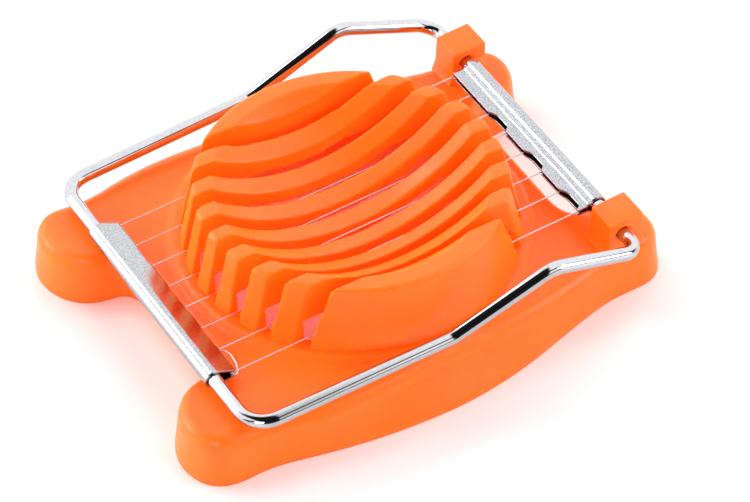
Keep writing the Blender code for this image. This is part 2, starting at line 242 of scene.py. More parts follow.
outline = [v.co.copy() for v in tray.data.vertices]
inward = []
for i, here in enumerate(outline):
    along = outline[(i + 1) % len(outline)] - outline[i - 1]
    inward.append(Vector((along.y, -along.x, 0.0)).normalized())
lean = [wall_lean(p) for p in outline]
shoulder = [shoulder_radius(p) for p in outline]
station_numbers = tray.data.attributes.new("station", "INT", "POINT")
station_numbers.data.foreach_set("value", range(len(outline)))
print("lean from", round(min(lean) / MM, 2), "to", round(max(lean) / MM, 2), "mm")


# %% Extrude the rings
def raise_ring(depths, height):
    """Extrude the selected rim, and lay the new ring in by each station's depth."""
    bpy.ops.mesh.extrude_edges_move()
    mesh = bmesh.from_edit_mesh(tray.data)
    station = mesh.verts.layers.int["station"]
    for vert in mesh.verts:
        if vert.select:
            k = vert[station]
            vert.co = outline[k] + inward[k] * depths[k]
            vert.co.z = height
    bmesh.update_edit_mesh(tray.data)


SHOULDER_DROP, SHOULDER_RINGS = 3.6 * MM, 6
WALL_RINGS = [(0.04, 1.2 * MM), (0.5, 3.8 * MM)]    # share of the lean, height
start_edit(tray, "EDGE")
bpy.ops.mesh.select_all(action="SELECT")
for share, height in WALL_RINGS:
    raise_ring([share * d for d in lean], height)
for ring in range(SHOULDER_RINGS + 1):
    turn = 0.5 * math.pi * ring / SHOULDER_RINGS
    depths = [d + r * (1.0 - math.cos(turn)) for d, r in zip(lean, shoulder)]
    raise_ring(depths, TRAY_TOP - SHOULDER_DROP * (1.0 - math.sin(turn)))
bpy.ops.mesh.edge_face_add()
end_edit()
tidy_shell(tray)
count(tray)

# %% [markdown]
# ## The base: thickness, round step and opening
#
# The moulding is a shell about 2 mm thick and open underneath, so Solidify
# gives it its wall.  A low round step carries the cradle: a cylinder whose top
# edge is bevelled.  Under the egg the floor is open, so that crumbs fall
# through and can be washed out, and the hole goes through both.


# %% Wall thickness, step and hole
def settle():
    """Put the new primitive's place into its mesh, and hand it over."""
    bpy.ops.object.transform_apply(location=True, rotation=True, scale=True)
    return bpy.context.object


def add_disc(radius, depth):
    """A cylinder under the cradle, its middle level with the tray's top."""
    bpy.ops.object.select_all(action="DESELECT")
    bpy.ops.mesh.primitive_cylinder_add(
        vertices=160, radius=radius, depth=depth, location=(CRADLE_X, 0.0, TRAY_TOP))
    return settle()


CRADLE_X = 0.2 * MM
WALL = 2.2 * MM
STEP_R, HOLE_R = 33.2 * MM, 28.9 * MM
STEP_DEPTH, STEP_ROUND = 1.8 * MM, 0.9 * MM      # the upper half stands proud
HOLE_DEPTH = 30.0 * MM                           # long enough to pass through all
finish_with(tray, "SOLIDIFY", thickness=WALL, offset=-1.0, use_even_offset=True)

step = add_disc(STEP_R, STEP_DEPTH)
start_edit(step)
pick(step, lambda place, normal: normal.z > 0.9)
bpy.ops.mesh.bevel(offset=STEP_ROUND, segments=4, affect="EDGES")
end_edit()

hole = add_disc(HOLE_R, HOLE_DEPTH)
cut_with(tray, hole)
cut_with(step, hole)
throw_away(hole)
tray = join(tray, step)
count(tray)

# %% [markdown]
# ## Fusing a moulding
#
# In the mould the plastic flows together, so the real piece has no seams and a
# small fillet in every corner.  A voxel remesh does the same to solids that
# overlap: it throws away what is inside and skins the rest.  A few rounds of
# smoothing then soften every edge by about half a millimetre.  Decimate thins
# the mesh again, since flat walls don't need faces as small as the edges do.


# %% Remesh and smooth
def fuse(obj, voxel, rounds, keep):
    finish_with(obj, "REMESH", mode="VOXEL", voxel_size=voxel, use_smooth_shade=True)
    finish_with(obj, "SMOOTH", factor=0.5, iterations=rounds)
    count(obj)
    finish_with(obj, "DECIMATE", decimate_type="COLLAPSE", ratio=keep)
    select_only(obj)
    bpy.ops.object.shade_smooth()
    count(obj)


fuse(tray, voxel=0.4 * MM, rounds=8, keep=0.35)

# %% [markdown]
# ## The base: a level rim
#
# Smoothing rounds the lower rim as well, but the real one is flat and stands
# on the table.  That is why the outline was started a little below the table:
# now a big block is subtracted, and what is left ends exactly at the table.
# A boolean is used and not a filled bisect, which would close the whole
# underside of the shell.

# %% Trim the lower rim level with the table
BLOCK_SIZE = 0.2
bpy.ops.object.select_all(action="DESELECT")
bpy.ops.mesh.primitive_cube_add(size=BLOCK_SIZE, location=(0.0, 0.0, -0.5 * BLOCK_SIZE))
table_block = settle()
cut_with(tray, table_block)
throw_away(table_block)
count(tray)

# %% [markdown]
# ## The cradle: a turned bowl
#
# Before it was slotted, the cradle was a round dish: a bowl for the egg on top,
# an outer wall that widens a little towards its foot, and a hollow below.  A
# turned shape is drawn as one half profile and spun about its axis.  There are
# two versions: a thin one for the ribs, and one that is solid below for the
# two end blocks.

# %% The half profiles
FOOT_R, TOP_R, RIM_R = 31.3 * MM, 28.7 * MM, 25.0 * MM
CRADLE_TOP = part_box("cradle_rib_4")[1].z
BOWL_FLOOR = TRAY_TOP + 3.4 * MM
CRADLE_FOOT = TRAY_TOP + 0.3 * MM       # sunk into the step, so that they fuse
BOWL_SKIN, EDGE_R, EDGE_STEPS = 2.8 * MM, 0.8 * MM, 5
depth = CRADLE_TOP - BOWL_FLOOR
BOWL_R = (RIM_R ** 2 + depth ** 2) / (2.0 * depth)
bowl_centre = BOWL_FLOOR + BOWL_R


def bowl_line(radius, rim, steps=16):
    """Points on the bowl's sphere, from its middle out to the rim."""
    places = [rim * k / steps for k in range(steps + 1)]
    return [(r, bowl_centre - math.sqrt(radius ** 2 - r ** 2)) for r in places]


upper = bowl_line(BOWL_R, RIM_R)
for k in range(EDGE_STEPS + 1):
    turn = 0.5 * math.pi * k / EDGE_STEPS
    upper.append((TOP_R - EDGE_R * (1.0 - math.sin(turn)),
                  CRADLE_TOP - EDGE_R * (1.0 - math.cos(turn))))
upper.append((FOOT_R, CRADLE_FOOT))
CEILING = TRAY_TOP + 5.2 * MM            # flat underside round the bowl
under_edge = math.sqrt((BOWL_R + BOWL_SKIN) ** 2 - (bowl_centre - CEILING) ** 2)
shell_profile = upper + [(FOOT_R - WALL, CRADLE_FOOT), (FOOT_R - WALL, CEILING)]
shell_profile += reversed(bowl_line(BOWL_R + BOWL_SKIN, under_edge))
solid_profile = upper + [(0.0, CRADLE_FOOT)]
print("bowl radius", round(BOWL_R / MM, 1), "mm")


# %% Spin a profile into a solid
def turned(name, profile, steps=120):
    obj = draw(name, [(CRADLE_X + r, 0.0, z) for r, z in profile])
    start_edit(obj, "EDGE")
    bpy.ops.mesh.select_all(action="SELECT")
    bpy.ops.mesh.spin(steps=steps, angle=2.0 * math.pi, dupli=False,
                      center=(CRADLE_X, 0.0, 0.0), axis=(0.0, 0.0, 1.0))
    end_edit()
    tidy_shell(obj)
    return obj


thin_bowl = turned("thin_bowl", shell_profile)
thick_bowl = turned("thick_bowl", solid_profile)
count(thin_bowl)

# %% [markdown]
# ## The cradle: ribs and end blocks
#
# Eight slots for the wires leave seven ribs.  Each rib is a copy of the thin
# bowl, bisected twice: once on each side, with the cut faces filled.  The cuts
# lean a little, so that a rib is thicker at its foot, as a moulded rib has to
# be.  The two end blocks are what lies past the outer slots.


# %% Bisect copies of the bowl
def copy_of(obj, name):
    select_only(obj)
    bpy.ops.object.duplicate()
    bpy.context.object.name = name
    return bpy.context.object


def keep_below(obj, y_top, y_foot, side):
    """Cut away what lies past a slightly leaning plane across Y."""
    tall = CRADLE_TOP - TRAY_TOP
    normal = Vector((0.0, side * tall, -(side * y_top - side * y_foot))).normalized()
    start_edit(obj)
    bpy.ops.mesh.select_all(action="SELECT")
    bpy.ops.mesh.bisect(plane_co=(0.0, y_top, CRADLE_TOP), plane_no=normal,
                        use_fill=True, clear_outer=True)
    end_edit()


PITCH, RIB_COUNT = 6.0 * MM, 7
RIB_TOP_HALF, RIB_FOOT_HALF = 1.5 * MM, 1.95 * MM
pieces = []
for i in range(RIB_COUNT):
    middle = (i - (RIB_COUNT - 1) / 2) * PITCH
    rib = copy_of(thin_bowl, f"rib_{i + 1}")
    for side in (-1, 1):
        keep_below(rib, middle + side * RIB_TOP_HALF, middle + side * RIB_FOOT_HALF, side)
    pieces.append(rib)
count(pieces[3])

# %% The end blocks, with the room under each
END_TOP_Y, END_FOOT_Y = 22.4 * MM, 21.9 * MM
ROOM_TOP_R, ROOM_FOOT_R, ROOM_CHAMFER = 25.9 * MM, 29.6 * MM, 1.0 * MM
roof, room_floor = CRADLE_TOP - WALL, TRAY_TOP - 1.0 * MM
room_profile = [(0.0, roof), (ROOM_TOP_R, roof),
                (ROOM_TOP_R + ROOM_CHAMFER, roof - ROOM_CHAMFER),
                (ROOM_FOOT_R, room_floor), (0.0, room_floor)]
room_shape = turned("room_shape", room_profile)
for side in (-1, 1):
    block = copy_of(thick_bowl, "end_block")
    keep_below(block, side * END_TOP_Y, side * END_FOOT_Y, -side)
    room = copy_of(room_shape, "room")
    keep_below(room, side * (END_TOP_Y + WALL), side * (END_FOOT_Y + WALL), -side)
    cut_with(block, room)
    throw_away(room)
    pieces.append(block)
throw_away(thin_bowl, thick_bowl, room_shape)
cradle = join(*pieces)
cradle.name = "cradle"
fuse(cradle, voxel=0.3 * MM, rounds=7, keep=0.4)

# %% [markdown]
# ## The hinge hooks
#
# Two stout blocks at the back hold the rod.  Each is open to the rear and the
# rod snaps in past a short lip, so the block is really a hook.  It is drawn in
# side view, extruded to its width, and bevelled all round, tighter than the
# rest of the moulding.  The bore is a little wider than the rod, so that the
# frame turns freely, and the foot spreads where it runs into the tray.

# %% Side view of a hook
HINGE = Vector((39.4 * MM, 0.0, TRAY_TOP + 4.5 * MM))
ROD_R = 1.35 * MM
BORE_R = ROD_R + 0.25 * MM
HOOK_FRONT, HOOK_BACK = 36.6 * MM, 43.6 * MM
HOOK_TOP, HOOK_FOOT = TRAY_TOP + 7.7 * MM, TRAY_TOP - 0.4 * MM
hook_side = [
    (HOOK_FRONT - 1.3 * MM, HOOK_FOOT),
    (HOOK_FRONT - 0.8 * MM, TRAY_TOP + 0.4 * MM),
    (HOOK_FRONT - 0.3 * MM, TRAY_TOP + 2.0 * MM),
    (HOOK_FRONT, HOOK_TOP - 0.35 * MM),
    (HOOK_BACK, HOOK_TOP),
    (HOOK_BACK, HINGE.z - 0.2 * MM),
]
BORE_FROM, BORE_SWEEP, BORE_STEPS = -8.0, 240.0, 15     # degrees round the rod
for k in range(BORE_STEPS + 1):
    turn = math.radians(BORE_FROM + BORE_SWEEP * k / BORE_STEPS)
    hook_side.append((HINGE.x + BORE_R * math.cos(turn), HINGE.z + BORE_R * math.sin(turn)))
mouth_floor = HINGE.z - BORE_R - 0.9 * MM
hook_side += [
    (HINGE.x + 0.6 * MM, mouth_floor),
    (HOOK_BACK + 0.3 * MM, mouth_floor),
    (HOOK_BACK + 0.9 * MM, HOOK_FOOT),
]
print(len(hook_side), "points round the side of a hook")

# %% Extrude and bevel the two hooks
HOOK_Y, HOOK_NEAR, HOOK_FAR = 26.5 * MM, 3.5 * MM, 3.0 * MM
hooks = []
for side, word in ((-1, "near"), (1, "far")):
    hook = draw(f"hinge_hook_{word}",
                [(x, side * HOOK_Y - HOOK_NEAR, z) for x, z in hook_side], closed=True)
    start_edit(hook, "EDGE")
    bpy.ops.mesh.select_all(action="SELECT")
    bpy.ops.mesh.edge_face_add()
    bpy.ops.mesh.extrude_region_move(
        TRANSFORM_OT_translate={"value": (0.0, HOOK_NEAR + HOOK_FAR, 0.0)})
    end_edit()
    tidy_shell(hook)
    finish_with(hook, "BEVEL", width=0.7 * MM, segments=5, limit_method="ANGLE",
                angle_limit=math.radians(38.0))
    select_only(hook)
    bpy.ops.object.shade_smooth_by_angle(angle=math.radians(35.0))
    count(hook)
    hooks.append(hook)

# %% [markdown]
# ## The bent rod
#
# One length of steel rod, 2.7 mm thick, makes the whole frame: a straight front
# bar that the thumb lifts, two sides that rise beside the cradle and come down
# again to the hinge, and the two ends that meet inside the rear holder.  Bends
# are arcs between straight runs, so the path is built from corners and a bend
# radius at each, and a round bevel gives it thickness.  Only the far half is
# listed, and mirrored.


# %% Corners joined by arcs
def rounded_path(corners, radii, steps=14):
    corners = [Vector(c) for c in corners]
    out = [corners[0]]
    for before, corner, after, radius in zip(corners, corners[1:], corners[2:], radii):
        to_before = (before - corner).normalized()
        to_after = (after - corner).normalized()
        half = 0.5 * to_before.angle(to_after)
        centre = corner + (to_before + to_after).normalized() * (radius / math.sin(half))
        start = corner + to_before * (radius / math.tan(half)) - centre
        end = corner + to_after * (radius / math.tan(half)) - centre
        sweep = start.angle(end)
        for k in range(steps + 1):
            t = k / steps
            out.append(centre + (start * math.sin((1.0 - t) * sweep)
                                 + end * math.sin(t * sweep)) / math.sin(sweep))
    out.append(corners[-1])
    return out


# %% Draw the rod
BAR = Vector((-40.35 * MM, 0.0, TRAY_TOP + 2.5 * MM))
rod_half = [
    BAR, (BAR.x, 34.95 * MM, BAR.z),
    (-0.3 * MM, 35.8 * MM, TRAY_TOP + 4.4 * MM),
    (19.5 * MM, 36.6 * MM, TRAY_TOP + 11.8 * MM),
    (HINGE.x, 35.2 * MM, HINGE.z), (HINGE.x, 0.5 * MM, HINGE.z),
]
ROD_BENDS = [5.0 * MM, 6.0 * MM, 6.0 * MM, 4.0 * MM]
half_path = rounded_path(rod_half, ROD_BENDS)
rod_path = [Vector((p.x, -p.y, p.z)) for p in reversed(half_path[1:])] + half_path[1:]
rod = draw("bent_rod", rod_path, radius=ROD_R, sides=6)
select_only(rod)
bpy.ops.object.shade_smooth_by_angle(angle=math.radians(50.0))
count(rod)

# %% [markdown]
# ## The two wire holders
#
# Each holder is a strip of thin steel folded round the rod, with its two edges
# brought together into a flat lip that grips the wire.  The front one runs
# straight from its lip to the rod, and the rear one has a flat lip that was
# pressed in with a hollow curve, so each side of a fold is a helper of its own.
# The fold is drawn as one line, extruded along the rod in short steps so that
# the lip can be shaped afterwards, and given the thickness of the sheet.


# %% Fold a strip round the rod
SHEET, SHEET_PLAY = 0.35 * MM, 0.1 * MM
HOLDER_HALF, HOLDER_STEPS, ROUND_STEPS = 21.4 * MM, 90, 28


def straight_side(lip, level, side, round_r):
    """From the edge of the lip straight to where it touches the round part."""
    edge = Vector((lip, level))
    turn = math.atan2(edge.y, edge.x) + side * math.acos(round_r / edge.length)
    landing = round_r * Vector((math.cos(turn), math.sin(turn)))
    return [edge.lerp(landing, k / 8) for k in range(8)], turn


def pressed_side(lip, level, side, round_r, flat_to):
    """A level lip as far as flat_to, then a hollow curve into the round part."""
    turn = math.asin(level / round_r) + side * math.radians(30.0)
    landing = round_r * Vector((math.cos(turn), math.sin(turn)))
    tangent = side * Vector((math.sin(turn), -math.cos(turn)))
    knee = Vector((flat_to, level))
    reach = 0.45 * (landing - knee).length
    handles = [knee, knee - Vector((reach, 0.0)), landing + tangent * reach, landing]
    line = [Vector((lip, level)).lerp(knee, k / 6) for k in range(6)]
    for k in range(9):
        t = k / 9
        weights = [(1 - t) ** 3, 3 * t * (1 - t) ** 2, 3 * t * t * (1 - t), t ** 3]
        line.append(sum((h * w for h, w in zip(handles, weights)), Vector((0.0, 0.0))))
    return line, turn


def fold_line(lip, lip_height, mouth, side_line, **more):
    """Line of the folded strip: u towards the lip, w up."""
    round_r = ROD_R + SHEET_PLAY + 0.5 * SHEET
    half = 0.5 * mouth + 0.5 * SHEET
    upper, start = side_line(lip, lip_height + half, 1.0, round_r, **more)
    lower, end = side_line(lip, lip_height - half, -1.0, round_r, **more)
    line = upper
    for k in range(ROUND_STEPS + 1):
        turn = start + (end + 2.0 * math.pi - start) * k / ROUND_STEPS
        line.append(Vector((round_r * math.cos(turn), round_r * math.sin(turn))))
    return line + lower[::-1]


def fold_strip(name, line, axis, toward):
    """Lay the line round an axis and extrude it along the rod."""
    strip = draw(name, [(axis.x + toward * p.x, -HOLDER_HALF, axis.z + p.y) for p in line])
    start_edit(strip, "EDGE")
    bpy.ops.mesh.select_all(action="SELECT")
    step = 2.0 * HOLDER_HALF / HOLDER_STEPS
    for _ in range(HOLDER_STEPS):
        bpy.ops.mesh.extrude_edges_move(TRANSFORM_OT_translate={"value": (0.0, step, 0.0)})
    end_edit()
    return strip


WIRE_FRONT_Z, WIRE_REAR_Z = TRAY_TOP + 1.9 * MM, TRAY_TOP + 4.5 * MM
FRONT_LIP, REAR_LIP, MOUTH = 4.25 * MM, 4.1 * MM, 0.9 * MM
REAR_FLAT_TO = 2.35 * MM
front_line = fold_line(FRONT_LIP, WIRE_FRONT_Z - BAR.z, MOUTH, straight_side)
rear_line = fold_line(REAR_LIP, WIRE_REAR_Z - HINGE.z, MOUTH, pressed_side,
                      flat_to=REAR_FLAT_TO)
front_holder = fold_strip("front_holder", front_line, BAR, 1.0)
rear_holder = fold_strip("rear_holder", rear_line, HINGE, -1.0)
print(len(front_line), "and", len(rear_line), "points in the two folds")

# %% [markdown]
# ## Pressing the lips
#
# Where the wire turns round inside the holder, the press has closed the lip
# tight.  Between the turns the upper sheet stays a little open and springs
# back, so its edge is scalloped.  The points of the upper sheet are pulled
# back and up there, the more the nearer they are to the edge.


# %% Pull the upper sheet open between the turns
def lip_level(strip):
    return (WIRE_FRONT_Z - BAR.z) if strip is front_holder else (WIRE_REAR_Z - HINGE.z)


def notch(past):
    """Share of a full notch at a distance from its centre, steeper on one side."""
    if past > 0.0:
        return 1.0 - smoothstep(0.8 * MM, 3.4 * MM, past)
    return 1.0 - smoothstep(2.3 * MM, 2.9 * MM, -past)


LIP_REACH, PRESSED_DOWN, CURL = 2.6 * MM, 0.12 * MM, 1.5


def open_lip(strip, edge_x, axis, centres, back, up, below):
    start_edit(strip, "VERT")
    mesh = bmesh.from_edit_mesh(strip.data)
    toward = 1.0 if edge_x > axis.x else -1.0
    moved = 0
    for vert in mesh.verts:
        from_edge = toward * (edge_x - vert.co.x)
        if from_edge > LIP_REACH:
            continue
        upper = vert.co.z > axis.z + lip_level(strip)
        share = max(notch(vert.co.y - centre) for centre in centres)
        closeness = 1.0 - from_edge / LIP_REACH
        pull = share * closeness ** CURL
        vert.co.x -= toward * (back if upper else below) * pull
        if upper:
            vert.co.z += up * pull - PRESSED_DOWN * (1.0 - share) * closeness
        moved += pull > 0.0
    bmesh.update_edit_mesh(strip.data)
    end_edit()
    print(f"{strip.name}: {moved} points pulled")


open_lip(rear_holder, HINGE.x - REAR_LIP, HINGE, [6.0 * MM, -6.0 * MM, -18.0 * MM],
         back=0.95 * MM, up=-0.25 * MM, below=0.5 * MM)
open_lip(front_holder, BAR.x + FRONT_LIP, BAR, [12.0 * MM, 0.0, -12.0 * MM],
         back=0.3 * MM, up=0.05 * MM, below=0.1 * MM)

# %% [markdown]
# ## The thickness of the sheet
#
# Until now each holder is a surface without thickness.  Its faces are first
# made to look the same way, since Solidify grows along them, and then it gets
# half of the sheet's thickness on each side.  The cut edges are broken by a
# very small bevel, as in real sheet metal, so that they catch a line of light.

# %% Give the sheet its thickness
for holder in (front_holder, rear_holder):
    tidy_shell(holder)
    finish_with(holder, "SOLIDIFY", thickness=SHEET, offset=0.0, use_even_offset=True)
    finish_with(holder, "BEVEL", width=0.08 * MM, segments=2, limit_method="ANGLE",
                angle_limit=math.radians(50.0))
    select_only(holder)
    bpy.ops.object.shade_smooth_by_angle(angle=math.radians(40.0))
    count(holder)

# %% [markdown]
# ## The cutting wire
#
# The eight wires are one long stainless wire, laced from holder to holder.  At
# each end it runs sideways inside the lip to the next slot.  The last loop at
# the front is slack and shows outside the lip.  It is drawn like the rod, as
# corners with a bend at each, so it stays one unbroken piece.

# %% Lace the wire
WIRE_R, WIRE_HIDDEN, WIRE_BEND = 0.13 * MM, 1.3 * MM, 0.9 * MM
WIRE_COUNT, SLACK_AFTER = 8, 6
front_x, rear_x = BAR.x + FRONT_LIP, HINGE.x - REAR_LIP
slope = (WIRE_REAR_Z - WIRE_FRONT_Z) / (rear_x - front_x)


def on_wire(x, y):
    return Vector((x, y, WIRE_FRONT_Z + slope * (x - front_x)))


# the slack loop in millimetres: outwards from the front lip, along it, and up
SLACK_LOOP = [(-0.9, -15.0, 0.0), (-0.9, -15.7, 0.0), (0.75, -15.7, 0.2), (1.3, -17.3, 0.3),
              (1.15, -19.6, 0.2), (0.3, -21.7, 0.0), (-0.9, -21.7, 0.0), (-0.9, -21.0, 0.0)]
lacing, bends = [], []
for i in range(WIRE_COUNT):
    y = (0.5 * (WIRE_COUNT - 1) - i) * PITCH
    ends = [front_x - WIRE_HIDDEN, rear_x + WIRE_HIDDEN]
    if i % 2 == 0:
        ends.reverse()
    for x in ends:
        if x < 0.0 and i >= SLACK_AFTER:
            continue
        lacing.append(on_wire(x, y))
        bends.append(WIRE_BEND)
    if i == SLACK_AFTER:
        for x, y, lift in SLACK_LOOP:
            lacing.append(on_wire(front_x + x * MM, y * MM) + Vector((0.0, 0.0, lift * MM)))
            bends.append(0.3 * MM if x < 0.0 else 0.7 * MM)
wire_path = rounded_path(lacing, bends[1:-1], steps=8)
wire = draw("laced_wire", wire_path, radius=WIRE_R, sides=3)
select_only(wire)
bpy.ops.object.shade_smooth_by_angle(angle=math.radians(60.0))
count(wire)

# %% [markdown]
# ## What all the finishes share
#
# No real surface is perfectly even.  Moulded plastic has a faint texture from
# its mould, rolled steel has tiny flecks, and even a polished rod is duller in
# places.  All of that is noise at two sizes, one fine and one broad, so it is
# built once as a node group and each material gives it its own sizes and
# strengths.  The group puts out only values that change over the surface: a
# height, a roughness, and two masks.  It reads Object coordinates, so that the
# pattern stays on a piece when the frame swings.


# %% Shared group: fine unevenness of a surface
GROUP_INPUTS = [("Fine scale", 1500.0), ("Broad scale", 90.0), ("Roughness", 0.3),
                ("Roughness swing", 0.05)]
GROUP_OUTPUTS = ["Height", "Roughness", "Broad", "Flecks"]
NOISE_DETAIL = 2.0
FLECKS_FROM, FLECKS_TO = 0.36, 0.60


def skin_group():
    group = bpy.data.node_groups.new("fine_unevenness", "ShaderNodeTree")
    face = group.interface
    for name, default in GROUP_INPUTS:
        socket = face.new_socket(name=name, in_out="INPUT", socket_type="NodeSocketFloat")
        socket.default_value = default
    for name in GROUP_OUTPUTS:
        face.new_socket(name=name, in_out="OUTPUT", socket_type="NodeSocketFloat")
    nodes, links = group.nodes, group.links
    inputs, outputs = nodes.new("NodeGroupInput"), nodes.new("NodeGroupOutput")
    where = nodes.new("ShaderNodeTexCoord")
    fine, broad = nodes.new("ShaderNodeTexNoise"), nodes.new("ShaderNodeTexNoise")
    for noise, scale in ((fine, "Fine scale"), (broad, "Broad scale")):
        links.new(where.outputs["Object"], noise.inputs["Vector"])
        links.new(inputs.outputs[scale], noise.inputs["Scale"])
        noise.inputs["Detail"].default_value = NOISE_DETAIL
    centred = nodes.new("ShaderNodeMath")
    centred.operation = "SUBTRACT"
    centred.inputs[1].default_value = 0.5
    links.new(broad.outputs["Fac"], centred.inputs[0])
    swing = nodes.new("ShaderNodeMath")
    swing.operation = "MULTIPLY_ADD"
    links.new(centred.outputs[0], swing.inputs[0])
    links.new(inputs.outputs["Roughness swing"], swing.inputs[1])
    links.new(inputs.outputs["Roughness"], swing.inputs[2])
    flecks = nodes.new("ShaderNodeValToRGB")
    flecks.color_ramp.elements[0].position = FLECKS_FROM
    flecks.color_ramp.elements[1].position = FLECKS_TO
    links.new(fine.outputs["Fac"], flecks.inputs["Fac"])
    links.new(flecks.outputs["Color"], outputs.inputs["Flecks"])
    links.new(fine.outputs["Fac"], outputs.inputs["Height"])
    links.new(swing.outputs[0], outputs.inputs["Roughness"])
    links.new(broad.outputs["Fac"], outputs.inputs["Broad"])
    return group


uneven = skin_group()
print(uneven.name, "puts out", GROUP_OUTPUTS)

# %% [markdown]
# ## A material with that unevenness
#
# Each finish here is one Principled shader.  The numbers that are the same all
# over a piece, such as the metallic value or the index of refraction, are set
# on the shader's own sockets.  Only what changes over the surface is linked:
# the roughness, the small relief, and the colour, which is mixed from two
# close tones by one of the group's masks.


# %% Build a finish, and give it two tones
RELIEF_HEIGHT = 0.05 * MM


def new_material(name, roughness, swing, fine, broad, bump, **constants):
    """A Principled material; further sockets are named with underscores."""
    material = bpy.data.materials.new(name)
    material.use_nodes = True
    nodes, links = material.node_tree.nodes, material.node_tree.links
    shader = nodes["Principled BSDF"]
    for socket, value in constants.items():
        shader.inputs[socket.replace("_", " ")].default_value = value
    group = nodes.new("ShaderNodeGroup")
    group.node_tree = uneven
    group.inputs["Fine scale"].default_value = fine
    group.inputs["Broad scale"].default_value = broad
    group.inputs["Roughness"].default_value = roughness
    group.inputs["Roughness swing"].default_value = swing
    links.new(group.outputs["Roughness"], shader.inputs["Roughness"])
    relief = nodes.new("ShaderNodeBump")
    relief.inputs["Strength"].default_value = bump
    relief.inputs["Distance"].default_value = RELIEF_HEIGHT
    links.new(group.outputs["Height"], relief.inputs["Height"])
    links.new(relief.outputs["Normal"], shader.inputs["Normal"])
    return material, shader, group


def two_tones(material, shader, mask, low, high):
    """Mix two colours of the surface by one of the group's masks."""
    mix = material.node_tree.nodes.new("ShaderNodeMix")
    mix.data_type = "RGBA"
    mix.inputs["A"].default_value = (*low, 1.0)
    mix.inputs["B"].default_value = (*high, 1.0)
    material.node_tree.links.new(mask, mix.inputs["Factor"])
    material.node_tree.links.new(mix.outputs["Result"], shader.inputs["Base Color"])


# %% [markdown]
# ## The orange plastic
#
# The moulding is a bright orange plastic with a soft gloss.  Light goes into it
# and comes out again a few millimetres away, red light the farthest, and that
# is what subsurface scattering does.  Scattering alone leaves the colour too
# dull between the ribs, so a weak orange emission paints light into that shade:
# a painted glow, which also throws orange light onto the floor under the
# opening.  It is an approximation, and in a dark scene it should be turned down.

# %% Orange plastic
# the emission is a painted glow that lifts the shaded parts between the ribs
orange, shader, group = new_material(
    "orange_plastic", roughness=0.36, swing=0.08, fine=1800.0, broad=60.0, bump=0.12,
    IOR=1.46, Specular_IOR_Level=0.4, Subsurface_Weight=1.0, Subsurface_Scale=4.0 * MM,
    Emission_Color=(1.0, 0.07, 0.0, 1.0), Emission_Strength=0.27)
shader.inputs["Subsurface Radius"].default_value = (1.0, 0.25, 0.06)
two_tones(orange, shader, group.outputs["Broad"], (1.0, 0.150, 0.004), (1.0, 0.185, 0.008))
print(orange.name, "is ready")

# %% [markdown]
# ## The polished rod
#
# The rod is drawn steel, polished until it mirrors the room in long narrow
# streaks.  So its roughness is low, its relief nearly nothing, and its two
# tones lie close together.  The base colour is a middling grey, darker than
# polished steel is, because the room around it is nearly all white.

# %% Polished rod
rod_steel, shader, group = new_material(
    "polished_rod_steel", roughness=0.09, swing=0.05, fine=1500.0, broad=200.0, bump=0.03,
    Metallic=1.0)
two_tones(rod_steel, shader, group.outputs["Flecks"], (0.47, 0.47, 0.49), (0.51, 0.51, 0.53))
print(rod_steel.name, "is ready")

# %% [markdown]
# ## The folded sheet
#
# The holders are bright rolled sheet, which glitters: its surface is full of
# tiny flecks that mirror the room at slightly different angles.  A fine noise
# does this twice: as a relief, and as a mask between a darker and a lighter
# tone, which paints the glints into the colour as painted highlights and shade.

# %% Folded sheet
sheet_steel, shader, group = new_material(
    "rolled_sheet_steel", roughness=0.17, swing=0.10, fine=4200.0, broad=300.0, bump=0.20,
    Metallic=1.0)
# the fleck mask paints the sheet's glints into its colour, light and dark
two_tones(sheet_steel, shader, group.outputs["Flecks"], (0.29, 0.30, 0.32), (0.45, 0.46, 0.48))
print(sheet_steel.name, "is ready")

# %% [markdown]
# ## The wire
#
# A wire a quarter of a millimetre thick is seen as a line, so a second tone
# would be lost on it.  One plain colour is enough, set on the shader itself.

# %% Drawn wire
wire_steel, *_ = new_material(
    "drawn_wire_steel", roughness=0.22, swing=0.05, fine=2500.0, broad=400.0, bump=0.05,
    Metallic=1.0, Base_Color=(0.55, 0.55, 0.56, 1.0))
print(wire_steel.name, "is ready")

# %% [markdown]
# ## Putting the pieces on their bodies
#
# The object moves at one joint, so it has two bodies: the base, and the frame
# that swings.  Each finished piece rides on one of them, takes the place of
# its CAD nodes, and is given its finish.  The four orange pieces
# are one moulding on the real object, and the wire stands for all eight of
# its strands.

# %% Material, body, CAD nodes and slot of each piece
RIBS = [f"cradle_rib_{i}" for i in range(1, 8)]
WIRES = [f"cutting_wire_{i}" for i in range(1, 9)]
PLACES = [
    (tray, "moulded_tray", orange, "base", ["base_tray"], "orange_plastic"),
    (cradle, "slotted_cradle", orange, "base",
     RIBS + ["cradle_end_left", "cradle_end_right"], "orange_plastic"),
    (hooks[0], "hinge_hook_near", orange, "base", ["hinge_block_left"], "orange_plastic"),
    (hooks[1], "hinge_hook_far", orange, "base", ["hinge_block_right"], "orange_plastic"),
    (rod, "bent_rod", rod_steel, "cutting_frame", ["bail_rod"], "polished_rod"),
    (front_holder, "folded_holder_front", sheet_steel, "cutting_frame",
     ["front_wire_holder"], "pressed_sheet"),
    (rear_holder, "folded_holder_rear", sheet_steel, "cutting_frame",
     ["rear_wire_holder"], "pressed_sheet"),
    (wire, "laced_wire", wire_steel, "cutting_frame", WIRES, "wire"),
]
for piece, name, material, body, nodes, slot in PLACES:
    piece.name = name
    piece.data.materials.clear()
    piece.data.materials.append(material)
    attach(piece, body)
    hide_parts(*nodes)

# %% [markdown]
# ## The floor
#
# The object stands on white paper that runs on past the edge of the view.  One
# large plane is enough.  It belongs to the stage and not to the object.

